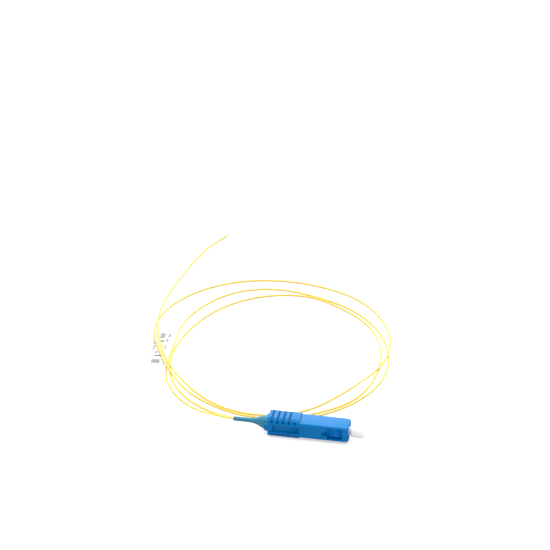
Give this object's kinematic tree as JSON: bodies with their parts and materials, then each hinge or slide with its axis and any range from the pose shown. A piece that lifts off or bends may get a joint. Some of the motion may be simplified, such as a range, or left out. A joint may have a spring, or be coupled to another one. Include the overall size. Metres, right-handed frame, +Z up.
{
  "type": "fibre optic pigtail",
  "caption": "Simplex push-pull fibre connector with boot and dust cap on a tight-buffered fibre that lies in loose loops with a bare end and a flag label.",
  "frame": {"origin": "on the floor under the middle of the connector, which reaches from the boot's tip to the dust cap's end", "axes": "+X along the connector towards the ferrule, +Z up, away from the keyed side"},
  "size_m": [0.1198, 0.1801, 0.0096],
  "materials": {
    "housing_blue": "satin",
    "frame_blue": "satin",
    "boot_blue": "matte",
    "cap_white": "satin, slightly translucent",
    "ceramic_white": "polished",
    "steel": "satin",
    "buffer_yellow": "satin",
    "label_white": "matte"
  },
  "bodies": {
    "root": {"plug_frame": "frame_blue", "rear_body": "steel", "strain_relief_boot": "boot_blue", "ferrule_spring": "steel", "fibre_cord": "buffer_yellow", "flag_label": "label_white"},
    "housing": {"grip_housing": "housing_blue"},
    "ferrule_body": {"ferrule": "ceramic_white", "ferrule_flange": "steel"},
    "cap": {"dust_cap": "cap_white"}
  },
  "joints": [
    {"name": "housing_slide", "type": "slide", "parent": "root", "child": "housing", "axis": [1, 0, 0], "range_m": [-0.002, 0]},
    {"name": "ferrule_float", "type": "slide", "parent": "root", "child": "ferrule_body", "axis": [1, 0, 0], "range_m": [-0.001, 0], "stiffness_N_per_m": 300, "deforming": ["ferrule_spring"]},
    {"name": "cap_pull", "type": "slide", "parent": "ferrule_body", "child": "cap", "axis": [1, 0, 0], "range_m": [0, 0.012]}
  ]
}
